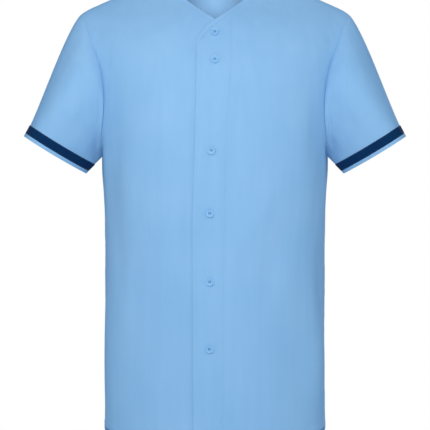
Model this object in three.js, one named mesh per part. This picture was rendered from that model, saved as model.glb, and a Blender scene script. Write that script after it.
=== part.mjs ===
import * as THREE from 'three';

// A short-sleeved baseball jersey, adult medium, filled out to its worn form with nobody in it.
// Millimetres, +Z up. The front faces -Y and +X is the wearer's left.
// The origin lies midway between the two points where the neck meets the shoulders.

// Cloth and gaps
const CLOTH = 1.5;
const TRIM = 0.9;
const LAY = 0.3;
const STRIP_LIFT = 0.6;
const BACK_EDGE_LIFT = 1.3;
const HALF_SEAM = 0.4;

// Neck and shoulders
const NECK_HALF = 84;
const NECK_TIP_Z = -72.6;
const NECK_MID = { x: 48, z: -39.6 };
const BACK_NECK_DROP = 12;
const SHOULDER_SLOPE = 0.446;
const SHOULDER_ROUND = 0.0066;
const SHOULDER_ROUND_START = 200;
const RIDGE_DEPTH = { front: 115, back: 92 };
const NECK_EDGE_WIDTH = 8;

// Body lengths
const UNDERARM_Z = -285;
const SIDE_HEM_Z = -741;
const FRONT_HEM_Z = -790;
const BACK_HEM_Z = -812;
const BACK_TAIL_CURVE = 2.6;
const CHEST_ROW_Z = -290;

// Sleeve
const SLEEVE_HEM = { x: 263.8, z: -295.2 };
const SLEEVE_HALF_WIDTH = 59;
const SLEEVE_HALF_DEPTH = 63;
const SLEEVE_FLATTENING = 0.42;
const SLEEVE_EDGE = 0.6;
const SLEEVE_ANGLE = THREE.MathUtils.degToRad(30.9);
const SLEEVE_BAND = 15;
const SLEEVE_HEM_DEPTH = 6;
const SLEEVE_TAPER = 3.1;
const SLEEVE_DIP = 1.6;
const CUFF_ANGLE = THREE.MathUtils.degToRad(36.3);
const CUFF_NARROWING = 0.2;
const SLEEVE_FULLNESS = 100;
const SLEEVE_TOP_FULLNESS = 31;
const FULLEST_TURN = THREE.MathUtils.degToRad(75);
const LEAVE_SHARE = 0.45;
const ARRIVE_SHARE = 0.9;

// Buttons
const BUTTON_RADIUS = 7;
const BUTTON_HEIGHT = 2.4;
const BUTTON_DISH = 0.7;
const BUTTON_RIM = 1.6;
const BUTTON_SIDES = 20;
const AHEAD_OF_BODY = 300;
const BUTTONS = [
  { x: -0.5, z: -94.5 },
  { x: -0.5, z: -139.6 },
  { x: -6.1, z: -288.3 },
  { x: -8.6, z: -391.4 },
  { x: -8.6, z: -503.4 },
  { x: -9.1, z: -613.6 },
];

// Rows and columns of each panel
const SIDE_ROWS = 12;
const ARM_ROWS = 14;
const ROWS = SIDE_ROWS + ARM_ROWS;
const CORNER_ROW = 18;
const TIP_ROW = 20;
const FRONT_COLUMNS = 12;
const SHOULDER_COLUMNS = 6;
const NECK_COLUMNS = 8;
const SLEEVE_ROWS = 8;

// Half width of the body, and how far its front and back stand from the middle, at each height
const SQUARENESS = 2.1;
const BODY = [
  { z: 0, half: 264, front: 40, back: 98 },
  { z: -40, half: 260, front: 56, back: 103 },
  { z: -73, half: 253, front: 80, back: 107 },
  { z: -94, half: 246, front: 92, back: 111 },
  { z: -117, half: 234, front: 104, back: 115 },
  { z: -140, half: 221, front: 115, back: 120 },
  { z: -180, half: 211, front: 127, back: 123 },
  { z: -220, half: 206, front: 137, back: 124 },
  { z: -250, half: 205, front: 141, back: 122 },
  { z: -285, half: 204, front: 142, back: 119 },
  { z: -320, half: 203, front: 140, back: 117 },
  { z: -360, half: 197, front: 138, back: 115 },
  { z: -400, half: 190.6, front: 136, back: 113 },
  { z: -450, half: 183.5, front: 134, back: 112 },
  { z: -500, half: 181.5, front: 133, back: 112 },
  { z: -600, half: 180, front: 131, back: 114 },
  { z: -700, half: 181, front: 130, back: 117 },
  { z: -820, half: 182.5, front: 130, back: 119 },
];

// The hollow under each arm, where the side of the body is drawn in
const ARMPIT = { share: 0.15, degrees: 16, above: 60, below: 110 };

// Armhole seam from the underarm to the shoulder: angle is degrees round from the centre line
const ARMHOLE = [
  { t: 0, z: -285, angle: 90 },
  { t: 0.08, z: -283, angle: 82.5 },
  { t: 0.16, z: -276, angle: 75.5 },
  { t: 0.24, z: -262, angle: 70 },
  { t: 0.32, z: -242, angle: 65.2 },
  { t: 0.42, z: -216, angle: 61.8 },
  { t: 0.5, z: -195, angle: 60.2 },
  { t: 0.6, z: -168, angle: 59.2 },
  { t: 0.7, z: -142, angle: 59.2 },
  { t: 0.8, z: -116, angle: 57.8 },
  { t: 0.9, z: -90, angle: 56.6 },
  { t: 1, z: -66, angle: 58.2 },
];

// Largest soft folds: where, how wide and tall, how far in or out, and the lean in degrees per mm
const FRONT_FOLDS = [
  { angle: -61, z: -340, degrees: 14, tall: 85, out: -9.5, lean: -0.05 },
  { angle: 61, z: -290, degrees: 14, tall: 85, out: -10, lean: 0.02 },
  { angle: -69, z: -620, degrees: 15, tall: 120, out: 8, lean: 0 },
  { angle: 67, z: -630, degrees: 14, tall: 115, out: 7, lean: 0 },
  { angle: -52, z: -560, degrees: 9, tall: 70, out: 3, lean: 0.02 },
  { angle: 8, z: -300, degrees: 4, tall: 110, out: -2.2, lean: -0.03 },
  { angle: 24, z: -390, degrees: 7, tall: 55, out: 3, lean: -0.12 },
  { angle: 32, z: -480, degrees: 6, tall: 60, out: -2.6, lean: -0.08 },
  { angle: 70, z: -520, degrees: 7, tall: 60, out: -3.5, lean: 0.02 },
  { angle: 64, z: -640, degrees: 8, tall: 55, out: 2.5, lean: -0.03 },
];
const BACK_FOLDS = [
  { angle: -58, z: -370, degrees: 8, tall: 80, out: -4, lean: 0.04 },
  { angle: 60, z: -390, degrees: 8, tall: 75, out: -4.5, lean: -0.03 },
  { angle: -24, z: -560, degrees: 10, tall: 110, out: 3, lean: 0.02 },
  { angle: 20, z: -620, degrees: 9, tall: 95, out: -2.5, lean: -0.02 },
];
const FOLD_FADE_DEGREES = 14;
const FOLD_FADE_TOP = 60;

// Buttonhole side of the front: its free edge and the inner edge of the band on it
const PLACKET = [
  { z: -95, free: -30.2, band: 27 },
  { z: -140, free: -30.6, band: 26 },
  { z: -287, free: -33.7, band: 17.5 },
  { z: -391, free: -37, band: 16 },
  { z: -535, free: -37, band: 14 },
  { z: -820, free: -35.3, band: 12 },
];
const PLACKET_CORNER = { x: -30.2, z: -104 };
const PLACKET_MITRE = { x: -30.2, z: -114 };
const PLACKET_BEND = { x: -13, z: -82 };

// Button side of the front, which runs on beneath
const UNDERLAP = 16;
const UNDERLAP_TOP_Z = -84;
const UNDERLAP_SINK = 2.9;
const UNDERLAP_RAMP = { from: -92, to: -46 };

// Smooth value of a table's column at a place between its rows
function along(rows, key, column, place) {
  const last = rows.length - 1;
  const falling = rows[last][key] < rows[0][key];
  const ahead = rows.findIndex((row) => (falling ? row[key] < place : row[key] > place));
  if (ahead === 0) return rows[0][column];
  if (ahead < 0) return rows[last][column];
  const slope = (k) => {
    const a = rows[Math.max(k - 1, 0)];
    const b = rows[Math.min(k + 1, last)];
    return (b[column] - a[column]) / (b[key] - a[key]);
  };
  const a = rows[ahead - 1];
  const b = rows[ahead];
  const step = b[key] - a[key];
  const t = (place - a[key]) / step;
  const start = (1 + 2 * t) * (1 - t) ** 2 * a[column] + t * (1 - t) ** 2 * step * slope(ahead - 1);
  const end = t * t * (3 - 2 * t) * b[column] + t * t * (t - 1) * step * slope(ahead);
  return start + end;
}

function smooth(t) {
  const held = THREE.MathUtils.clamp(t, 0, 1);
  return held * held * (3 - 2 * held);
}

function bell(distance, width) {
  return Math.exp(-((distance / width) ** 2));
}

// Height of the shoulder line above or below the origin, at a distance out from the middle
function ridgeHeight(x) {
  const out = Math.abs(x);
  const past = Math.max(0, out - SHOULDER_ROUND_START);
  return -SHOULDER_SLOPE * (out - NECK_HALF) - SHOULDER_ROUND * past * past;
}

// Angle round the body, in degrees from the centre line, of a point seen from the front
function angleOf(x, z) {
  const share = Math.min(Math.abs(x) / along(BODY, 'z', 'half', z), 1);
  const rest = (1 - share ** SQUARENESS) ** (1 / SQUARENESS);
  return Math.sign(x) * THREE.MathUtils.radToDeg(Math.atan2(share, rest));
}

function foldDepth(folds, angle, z) {
  let out = 0;
  for (const fold of folds) {
    const place = fold.angle + fold.lean * (fold.z - z);
    out += fold.out * bell(angle - place, fold.degrees) * bell(z - fold.z, fold.tall);
  }
  return out * smooth((90 - Math.abs(angle)) / FOLD_FADE_DEGREES);
}

// A point of the worn body's surface. facing is -1 for the front and 1 for the back.
function bodyPoint(angle, z, facing, sink = 0) {
  const turn = THREE.MathUtils.degToRad(angle);
  const side = Math.abs(Math.sin(turn));
  const ahead = Math.max(Math.cos(turn), 0);
  const reach = (side ** SQUARENESS + ahead ** SQUARENESS) ** (-1 / SQUARENESS);
  const fade = z > UNDERARM_Z ? ARMPIT.above : ARMPIT.below;
  const hollow = ARMPIT.share * bell(90 - Math.abs(angle), ARMPIT.degrees) * bell(z - UNDERARM_Z, fade);
  const x = along(BODY, 'z', 'half', z) * reach * Math.sin(turn) * (1 - hollow);
  const below = Math.max(ridgeHeight(x) - z, 0);
  const half = facing < 0 ? 'front' : 'back';
  const rounding = Math.sqrt(1 - (1 - Math.min(below / RIDGE_DEPTH[half], 1)) ** 2);
  const depth = along(BODY, 'z', half, z) * reach * ahead * rounding;
  const folds = facing < 0 ? FRONT_FOLDS : BACK_FOLDS;
  const out = (foldDepth(folds, angle, z) - sink) * smooth(below / FOLD_FADE_TOP);
  return new THREE.Vector3(x + out * Math.sin(turn), facing * (depth + out * ahead), z);
}

// Blends four edges, each a function giving an angle and a height, into one panel's grid
function panelGrid(inner, outer, bottom, top, columns, place) {
  const grid = [];
  for (let row = 0; row <= ROWS; row += 1) {
    const v = row / ROWS;
    const start = inner(row);
    const end = outer(row);
    grid.push(columns.map((u) => {
      const value = (key) => {
        const across = (1 - u) * start[key] + u * end[key];
        const low = bottom(u)[key] - (1 - u) * inner(0)[key] - u * outer(0)[key];
        const high = top(u)[key] - (1 - u) * inner(ROWS)[key] - u * outer(ROWS)[key];
        return across + (1 - v) ** 4 * low + v ** 4 * high;
      };
      return place(value('angle'), value('z'));
    }));
  }
  return grid;
}

// Outer edge of a panel: the side seam, then the armhole up to the shoulder
function outerEdge(row) {
  if (row <= SIDE_ROWS) {
    return { angle: 90, z: THREE.MathUtils.lerp(SIDE_HEM_Z, UNDERARM_Z, row / SIDE_ROWS) };
  }
  const t = 1 - (1 - (row - SIDE_ROWS) / ARM_ROWS) ** 1.4;
  if (row === ROWS) return shoulderPoint();
  return { angle: along(ARMHOLE, 't', 'angle', t), z: along(ARMHOLE, 't', 'z', t) };
}

// Where the armhole meets the shoulder line, found by stepping down to that line
function shoulderPoint() {
  const { angle } = ARMHOLE[ARMHOLE.length - 1];
  let { z } = ARMHOLE[ARMHOLE.length - 1];
  for (let step = 0; step < 30; step += 1) z = ridgeHeight(bodyPoint(angle, z, -1).x);
  return { angle, z };
}

const neckline = new THREE.SplineCurve([
  new THREE.Vector2(0, NECK_TIP_Z),
  new THREE.Vector2(NECK_MID.x, NECK_MID.z),
  new THREE.Vector2(NECK_HALF, 0),
]);

// Edge points from a place on the flat view of the front
function seenFromFront(x, z) {
  return { angle: angleOf(x, z), z };
}

function necklineEdge(row) {
  const point = neckline.getPointAt((row - TIP_ROW) / (ROWS - TIP_ROW));
  return seenFromFront(point.x, point.y);
}

// Inner edge of the wearer's left front, on top, in its own side's terms
function overEdge(row) {
  if (row >= TIP_ROW) return necklineEdge(row);
  if (row === TIP_ROW - 1) return seenFromFront(PLACKET_BEND.x, PLACKET_BEND.z);
  if (row === CORNER_ROW) return seenFromFront(PLACKET_CORNER.x, PLACKET_CORNER.z);
  if (row === CORNER_ROW - 1) return seenFromFront(PLACKET_MITRE.x, PLACKET_MITRE.z);
  const lower = row <= SIDE_ROWS;
  const share = lower ? row / SIDE_ROWS : (row - SIDE_ROWS) / (CORNER_ROW - 1 - SIDE_ROWS);
  const z = lower
    ? THREE.MathUtils.lerp(FRONT_HEM_Z, CHEST_ROW_Z, share)
    : THREE.MathUtils.lerp(CHEST_ROW_Z, PLACKET_MITRE.z, share);
  return seenFromFront(along(PLACKET, 'z', 'free', z), z);
}

// Inner edge of the wearer's right front, beneath, in its own side's terms
function underEdge(row) {
  if (row >= TIP_ROW) return necklineEdge(row);
  if (row === TIP_ROW - 1) return seenFromFront(-UNDERLAP, UNDERLAP_TOP_Z);
  const lower = row <= SIDE_ROWS;
  const share = lower ? row / SIDE_ROWS : (row - SIDE_ROWS) / (TIP_ROW - 1 - SIDE_ROWS);
  const z = lower
    ? THREE.MathUtils.lerp(FRONT_HEM_Z, CHEST_ROW_Z, share)
    : THREE.MathUtils.lerp(CHEST_ROW_Z, UNDERLAP_TOP_Z, share);
  return seenFromFront(-UNDERLAP, z);
}

// Shirt-tail hem, low at the centre: the front rises in a long wave, the back late and steeply
function frontHemHeight(angle) {
  const share = (1 - Math.cos((Math.PI * Math.abs(angle)) / 90)) / 2;
  return THREE.MathUtils.lerp(FRONT_HEM_Z, SIDE_HEM_Z, share);
}

function backHemHeight(angle) {
  return THREE.MathUtils.lerp(BACK_HEM_Z, SIDE_HEM_Z, (angle / 90) ** BACK_TAIL_CURVE);
}

function ridgeEdge(x) {
  return seenFromFront(x, ridgeHeight(x));
}

// Columns lie closer together towards the side
const frontColumns = Array.from({ length: FRONT_COLUMNS + 1 }, (_, k) => {
  const u = k / FRONT_COLUMNS;
  return u + 0.08 * Math.sin(Math.PI * u) * (1 - u);
});

function frontGrid(side, innerEdge, sinkAt) {
  const start = innerEdge(0).angle;
  const shoulder = bodyPoint(shoulderPoint().angle, shoulderPoint().z, -1);
  const bottom = (u) => {
    const angle = THREE.MathUtils.lerp(start, 90, u);
    return { angle, z: frontHemHeight(angle) };
  };
  const top = (u) => (u === 1 ? shoulderPoint() : ridgeEdge(THREE.MathUtils.lerp(NECK_HALF, shoulder.x, u)));
  const place = (angle, z) => bodyPoint(side * angle, z, -1, sinkAt(side * angle, z));
  return panelGrid(innerEdge, outerEdge, bottom, top, frontColumns, place);
}

// The under front drops behind the over front, over a gentle ramp
function underlapSink(angle, z) {
  const { x } = bodyPoint(angle, z, -1);
  return UNDERLAP_SINK * smooth((x - UNDERLAP_RAMP.from) / (UNDERLAP_RAMP.to - UNDERLAP_RAMP.from));
}

// The back is one panel: two halves in the same terms, joined at the centre
function backGrid() {
  const shoulder = bodyPoint(shoulderPoint().angle, shoulderPoint().z, 1);
  const centre = (row) => {
    if (row <= SIDE_ROWS) {
      return { angle: 0, z: THREE.MathUtils.lerp(BACK_HEM_Z, CHEST_ROW_Z, row / SIDE_ROWS) };
    }
    const share = (row - SIDE_ROWS) / ARM_ROWS;
    return { angle: 0, z: THREE.MathUtils.lerp(CHEST_ROW_Z, -BACK_NECK_DROP, share) };
  };
  const neckShare = 0.4;
  const bottom = (u) => ({ angle: 90 * u, z: backHemHeight(90 * u) });
  const top = (u) => {
    if (u === 1) return shoulderPoint();
    if (u < neckShare) {
      const x = NECK_HALF * Math.sin((Math.PI / 2) * (u / neckShare));
      return seenFromFront(x, -BACK_NECK_DROP * (1 - (x / NECK_HALF) ** 2));
    }
    return ridgeEdge(THREE.MathUtils.lerp(NECK_HALF, shoulder.x, (u - neckShare) / (1 - neckShare)));
  };
  const neckColumns = NECK_COLUMNS / 2;
  const columns = [];
  for (let k = 0; k < neckColumns; k += 1) columns.push((neckShare * k) / neckColumns);
  for (let k = 0; k <= SHOULDER_COLUMNS; k += 1) {
    columns.push(neckShare + ((1 - neckShare) * k) / SHOULDER_COLUMNS);
  }
  const half = (side) => panelGrid(centre, outerEdge, bottom, top, columns,
    (angle, z) => bodyPoint(side * angle, z, 1));
  const left = half(1);
  return half(-1).map((row, k) => [...row.slice(1).reverse(), ...left[k]]);
}

// Directions of a grid's wall, all on the side that `away` points to
function gridNormals(grid, away, around) {
  const rows = grid.length;
  const columns = grid[0].length;
  const at = (r, c) => {
    const row = grid[THREE.MathUtils.clamp(r, 0, rows - 1)];
    return row[around ? (c + columns) % columns : THREE.MathUtils.clamp(c, 0, columns - 1)];
  };
  let sum = 0;
  const normals = grid.map((row, r) => row.map((point, c) => {
    const across = at(r, c + 1).clone().sub(at(r, c - 1));
    const up = at(r + 1, c).clone().sub(at(r - 1, c));
    const normal = across.cross(up).normalize();
    sum += normal.dot(away(point));
    return normal;
  }));
  if (sum < 0) normals.flat().forEach((normal) => normal.negate());
  normals.forEach((row, r) => row.forEach((normal, c) => {
    if (Math.abs(grid[r][c].y) < 0.05) normal.setY(0).normalize();
  }));
  return normals;
}

// A closed wall from a grid of outer points: the inner face, then the rims round its edges
function wall(grid, normals, thickness, around = false) {
  const rows = grid.length;
  const columns = grid[0].length;
  const positions = [];
  grid.flat().forEach((point) => positions.push(point.x, point.y, point.z));
  grid.forEach((row, r) => row.forEach((point, c) => {
    const inside = point.clone().addScaledVector(normals[r][c], -thickness);
    positions.push(inside.x, inside.y, inside.z);
  }));
  const outer = (r, c) => r * columns + (c % columns);
  const inner = (r, c) => rows * columns + outer(r, c);
  const faces = [];
  const quad = (a, b, c, d) => faces.push(a, b, c, a, c, d);
  const lastColumn = around ? columns : columns - 1;
  for (let r = 0; r < rows - 1; r += 1) {
    for (let c = 0; c < lastColumn; c += 1) {
      quad(outer(r, c), outer(r, c + 1), outer(r + 1, c + 1), outer(r + 1, c));
      quad(inner(r, c), inner(r + 1, c), inner(r + 1, c + 1), inner(r, c + 1));
    }
  }
  for (let c = 0; c < lastColumn; c += 1) {
    quad(outer(0, c), inner(0, c), inner(0, c + 1), outer(0, c + 1));
    quad(outer(rows - 1, c), outer(rows - 1, c + 1), inner(rows - 1, c + 1), inner(rows - 1, c));
  }
  for (let r = 0; r < rows - 1 && !around; r += 1) {
    quad(outer(r, 0), outer(r + 1, 0), inner(r + 1, 0), inner(r, 0));
    const end = columns - 1;
    quad(outer(r, end), inner(r, end), inner(r + 1, end), outer(r + 1, end));
  }
  const geometry = new THREE.BufferGeometry();
  geometry.setAttribute('position', new THREE.Float32BufferAttribute(positions, 3));
  geometry.setIndex(insideOut(positions, faces) ? faces.reverse() : faces);
  geometry.computeVertexNormals();
  return geometry;
}

function insideOut(positions, faces) {
  const point = (k) => new THREE.Vector3().fromArray(positions, 3 * k);
  let volume = 0;
  for (let k = 0; k < faces.length; k += 3) {
    volume += point(faces[k]).dot(point(faces[k + 1]).cross(point(faces[k + 2])));
  }
  return volume < 0;
}

// Pieces that share a seam point share its wall direction, so their walls meet like a mitre
function shareSeams(pieces) {
  const seam = new Map();
  const key = (point) => point.toArray().map((value) => Math.round(value * 10)).join(' ');
  pieces.forEach(({ grid, normals }) => grid.forEach((row, r) => row.forEach((point, c) => {
    const list = seam.get(key(point)) ?? [];
    seam.set(key(point), [...list, normals[r][c]]);
  })));
  seam.forEach((list) => {
    const mean = list.reduce((sum, normal) => sum.add(normal), new THREE.Vector3()).normalize();
    list.forEach((normal) => normal.copy(mean));
  });
}

// Draws the named edges of a piece back from their seams, square to each seam within the cloth
function drawBack(piece, edges, around = false) {
  const { grid, normals } = piece;
  const rows = grid.length - 1;
  const columns = grid[0].length - 1;
  const upward = Array.from({ length: rows + 1 }, (_, r) => r);
  const across = Array.from({ length: columns + 1 }, (_, c) => c);
  const lines = {
    first: upward.map((r) => [r, 0, r, 1]),
    last: upward.map((r) => [r, columns, r, columns - 1]),
    top: across.map((c) => [rows, c, rows - 1, c]),
    bottom: across.map((c) => [0, c, 1, c]),
  };
  const moved = grid.map((row) => row.map((point) => point.clone()));
  for (const edge of edges) {
    const line = lines[edge];
    const end = line.length - 1;
    let side = 0;
    const inward = line.map(([r, c, innerRow, innerColumn], k) => {
      const before = line[around ? (k + end) % line.length : Math.max(k - 1, 0)];
      const after = line[around ? (k + 1) % line.length : Math.min(k + 1, end)];
      const tangent = grid[after[0]][after[1]].clone().sub(grid[before[0]][before[1]]);
      const direction = normals[r][c].clone().cross(tangent).normalize();
      side += direction.dot(grid[innerRow][innerColumn].clone().sub(grid[r][c]));
      return direction;
    });
    line.forEach(([r, c], k) => moved[r][c].addScaledVector(inward[k], Math.sign(side) * HALF_SEAM));
  }
  piece.grid = moved;
}

// Sleeve: from the armhole loop to the band along a soft curve, then straight through the cuff
function sleeveGrid(side, front, back) {
  const loop = [];
  const outerColumn = (grid, k) => {
    const row = grid[SIDE_ROWS + k];
    return (side > 0 || grid === front ? row[row.length - 1] : row[0]).clone();
  };
  for (let k = 0; k <= ARM_ROWS; k += 1) loop.push(outerColumn(front, k));
  for (let k = ARM_ROWS - 1; k > 0; k -= 1) loop.push(outerColumn(back, k));
  const across = new THREE.Vector3(side * Math.cos(SLEEVE_ANGLE), 0, Math.sin(SLEEVE_ANGLE));
  const down = new THREE.Vector3(side * Math.sin(CUFF_ANGLE), 0, -Math.cos(CUFF_ANGLE));
  const hem = new THREE.Vector3(side * SLEEVE_HEM.x, 0, SLEEVE_HEM.z);
  const turns = loopTurns(loop);
  const cuff = SLEEVE_BAND + SLEEVE_HEM_DEPTH;
  const columns = loop.map((start, k) => {
    const round = across.clone().multiplyScalar(Math.cos(turns[k]) * SLEEVE_HALF_WIDTH);
    const edge = 1 - (1 - SLEEVE_EDGE) * smooth(Math.cos(turns[k]));
    const depth = SLEEVE_HALF_DEPTH * (1 + SLEEVE_FLATTENING * Math.cos(turns[k]));
    round.y = Math.sign(turns[k]) * depth * Math.abs(Math.sin(turns[k])) ** edge;
    const outward = round.clone().normalize();
    const dip = SLEEVE_DIP * Math.sin(turns[k]) ** 2;
    const cuffTop = hem.clone().add(round).addScaledVector(down, dip - cuff);
    cuffTop.addScaledVector(outward, SLEEVE_TAPER);
    const length = cuffTop.distanceTo(start);
    const leave = cuffTop.clone().sub(start).multiplyScalar(LEAVE_SHARE);
    const top = Math.max(0, Math.cos(turns[k])) ** 3;
    const ahead = Math.max(0, Math.cos(Math.abs(turns[k]) - FULLEST_TURN)) ** 2;
    leave.addScaledVector(outward, SLEEVE_FULLNESS * ahead + SLEEVE_TOP_FULLNESS * top);
    const inward = outward.clone().multiplyScalar(-CUFF_NARROWING);
    const arrive = down.clone().add(inward).multiplyScalar(length * ARRIVE_SHARE);
    const points = [];
    for (let row = 0; row <= SLEEVE_ROWS; row += 1) {
      points.push(hermite(start, leave, cuffTop, arrive, row / SLEEVE_ROWS));
    }
    for (const reach of [SLEEVE_BAND, cuff]) {
      const taper = (SLEEVE_TAPER * reach) / cuff;
      points.push(cuffTop.clone().addScaledVector(down, reach).addScaledVector(outward, -taper));
    }
    return points;
  });
  return columns[0].map((_, row) => columns.map((points) => points[row]));
}

// Angles round the sleeve, from the underarm by the front to the shoulder and back
function loopTurns(loop) {
  const lengths = [0];
  loop.forEach((point, k) => {
    const next = loop[(k + 1) % loop.length];
    lengths.push(lengths[k] + point.distanceTo(next));
  });
  const frontLength = lengths[ARM_ROWS];
  const backLength = lengths[loop.length] - frontLength;
  return loop.map((_, k) => (k <= ARM_ROWS
    ? -Math.PI * (1 - lengths[k] / frontLength)
    : (Math.PI * (lengths[k] - frontLength)) / backLength));
}

function hermite(start, leave, end, arrive, t) {
  return new THREE.Vector3()
    .addScaledVector(start, (1 + 2 * t) * (1 - t) ** 2)
    .addScaledVector(leave, t * (1 - t) ** 2)
    .addScaledVector(end, t * t * (3 - 2 * t))
    .addScaledVector(arrive, t * t * (t - 1));
}

// A strip lying on a panel: for each of its rows, two distances in from the panel's edge
function stripOn(piece, rows, from, to, steps) {
  const grid = [];
  const normals = [];
  for (const r of rows) {
    const line = piece.grid[r];
    const reaches = line.map((point) => point.distanceTo(line[0]));
    const start = from(r, line);
    const end = to(r, line);
    const points = [];
    const directions = [];
    for (let k = 0; k <= steps; k += 1) {
      const distance = THREE.MathUtils.lerp(start, end, k / steps);
      const c = Math.max(reaches.findIndex((reach) => reach > distance) - 1, 0);
      const t = (distance - reaches[c]) / (reaches[c + 1] - reaches[c]);
      const normal = piece.normals[r][c].clone().lerp(piece.normals[r][c + 1], t).normalize();
      points.push(line[c].clone().lerp(line[c + 1], t).addScaledVector(normal, STRIP_LIFT + TRIM));
      directions.push(normal);
    }
    grid.push(points);
    normals.push(directions);
  }
  return wall(grid, normals, TRIM);
}

// A ring lying on a sleeve between two of its rows
function ringOn(piece, first, last, gapAbove) {
  const grid = [];
  const normals = [];
  for (let r = first; r <= last; r += 1) {
    normals.push(piece.normals[r]);
    grid.push(piece.grid[r].map((point, c) => {
      const next = piece.grid[r === first ? r + 1 : r - 1][c];
      const inward = next.clone().sub(point).normalize();
      const drawn = r === first ? gapAbove : 0;
      return point.clone()
        .addScaledVector(piece.normals[r][c], LAY + TRIM)
        .addScaledVector(inward, drawn);
    }));
  }
  return wall(grid, normals, TRIM, true);
}

const jersey = new THREE.Group();

const sky = { color: 0x92bde8, roughness: 0.78, metalness: 0 };
const navy = { color: 0x05305a, roughness: 0.7, metalness: 0 };
const buttonBlue = { color: 0x84b2e2, roughness: 0.4, metalness: 0 };

function addPiece(name, geometry, finish) {
  const mesh = new THREE.Mesh(geometry, new THREE.MeshStandardMaterial(finish));
  mesh.name = name;
  jersey.add(mesh);
  return mesh;
}

// Grids of the five main pieces, and the directions of their walls
const fromBody = (point) => new THREE.Vector3(point.x, 2 * point.y, 0);
const noSink = () => 0;
const overGrid = frontGrid(1, overEdge, noSink);
const underGrid = frontGrid(-1, underEdge, underlapSink);
const rearGrid = backGrid();
const over = { grid: overGrid, normals: gridNormals(overGrid, fromBody) };
const under = { grid: underGrid, normals: gridNormals(underGrid, fromBody) };
const rear = { grid: rearGrid, normals: gridNormals(rearGrid, fromBody) };

function sleevePiece(side, front) {
  const grid = sleeveGrid(side, front, rearGrid);
  const centre = new THREE.Vector3(side * SLEEVE_HEM.x, 0, SLEEVE_HEM.z);
  return { grid, normals: gridNormals(grid, (point) => point.clone().sub(centre), true) };
}

const leftSleeve = sleevePiece(1, overGrid);
const rightSleeve = sleevePiece(-1, underGrid);
shareSeams([over, under, rear, leftSleeve, rightSleeve]);

drawBack(over, ['last', 'top']);
drawBack(under, ['last', 'top']);
drawBack(rear, ['first', 'last', 'top']);
drawBack(leftSleeve, ['bottom'], true);
drawBack(rightSleeve, ['bottom'], true);

addPiece('back', wall(rear.grid, rear.normals, CLOTH), sky);
addPiece('front_left', wall(over.grid, over.normals, CLOTH), sky);
addPiece('front_right', wall(under.grid, under.normals, CLOTH), sky);
addPiece('sleeve_left', wall(leftSleeve.grid, leftSleeve.normals, CLOTH, true), sky);
addPiece('sleeve_right', wall(rightSleeve.grid, rightSleeve.normals, CLOTH, true), sky);

// Contrast strip and turned hem round each sleeve
for (const [name, piece] of [['left', leftSleeve], ['right', rightSleeve]]) {
  addPiece(`sleeve_band_${name}`, ringOn(piece, SLEEVE_ROWS, SLEEVE_ROWS + 1, 0), navy);
  addPiece(`sleeve_hem_${name}`, ringOn(piece, SLEEVE_ROWS + 1, SLEEVE_ROWS + 2, LAY), sky);
}

// Edge of the neck, folded over the panels, and the buttonhole band beneath it
function rowsFrom(first, last) {
  return Array.from({ length: last - first + 1 }, (_, k) => first + k);
}

const neckEdge = () => NECK_EDGE_WIDTH;
const atEdge = () => 0;
addPiece('neck_edge_left',
  stripOn(over, rowsFrom(CORNER_ROW, ROWS), atEdge, neckEdge, 1), sky);
addPiece('neck_edge_right',
  stripOn(under, rowsFrom(TIP_ROW, ROWS), atEdge, neckEdge, 1), sky);

const bandStart = (r) => (r >= CORNER_ROW ? NECK_EDGE_WIDTH + LAY : 0);
const bandEnd = (r, line) => {
  const edge = along(PLACKET, 'z', 'band', line[0].z) - line[0].x;
  return Math.max(edge, NECK_EDGE_WIDTH + 2 * LAY);
};
const band = addPiece('placket_band', stripOn(over, rowsFrom(0, TIP_ROW + 1), bandStart, bandEnd, 4), sky);

// Edge of the back neck, between the two shoulder seams
function backNeckEdge() {
  const middle = (rear.grid[0].length - 1) / 2;
  const reach = NECK_COLUMNS / 2;
  const grid = [];
  const normals = [];
  for (let c = middle - reach; c <= middle + reach; c += 1) {
    const top = rear.grid[ROWS][c];
    const below = rear.grid[ROWS - 1][c];
    const share = NECK_EDGE_WIDTH / top.distanceTo(below);
    const ends = [[top, rear.normals[ROWS][c]],
      [top.clone().lerp(below, share),
        rear.normals[ROWS][c].clone().lerp(rear.normals[ROWS - 1][c], share).normalize()]];
    grid.push(ends.map(([point, normal]) => point.clone().addScaledVector(normal, BACK_EDGE_LIFT + TRIM)));
    normals.push(ends.map(([, normal]) => normal));
  }
  return wall(grid, normals, TRIM);
}
addPiece('neck_edge_back', backNeckEdge(), sky);

// Buttons: a dished disc with a raised rim, square to the cloth beneath
function buttonShape() {
  const dishRadius = BUTTON_RADIUS - BUTTON_RIM;
  const floor = BUTTON_HEIGHT - BUTTON_DISH;
  return new THREE.LatheGeometry([
    new THREE.Vector2(0, 0),
    new THREE.Vector2(BUTTON_RADIUS - 0.6, 0),
    new THREE.Vector2(BUTTON_RADIUS, BUTTON_HEIGHT * 0.45),
    new THREE.Vector2(BUTTON_RADIUS - 0.7, BUTTON_HEIGHT),
    new THREE.Vector2(dishRadius, floor),
    new THREE.Vector2(0, floor),
  ], BUTTON_SIDES);
}

// Each button sits on the band, square to the face that it meets
BUTTONS.forEach(({ x, z }, k) => {
  const ray = new THREE.Raycaster(new THREE.Vector3(x, -AHEAD_OF_BODY, z), new THREE.Vector3(0, 1, 0));
  const [seat] = ray.intersectObject(band);
  const button = addPiece(`button_${k + 1}`, buttonShape(), buttonBlue);
  button.quaternion.setFromUnitVectors(new THREE.Vector3(0, 1, 0), seat.face.normal);
  button.position.copy(seat.point).addScaledVector(seat.face.normal, LAY);
});

export default jersey;
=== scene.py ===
import math
import bpy
import numpy as np
from mathutils import Matrix, Vector


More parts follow.
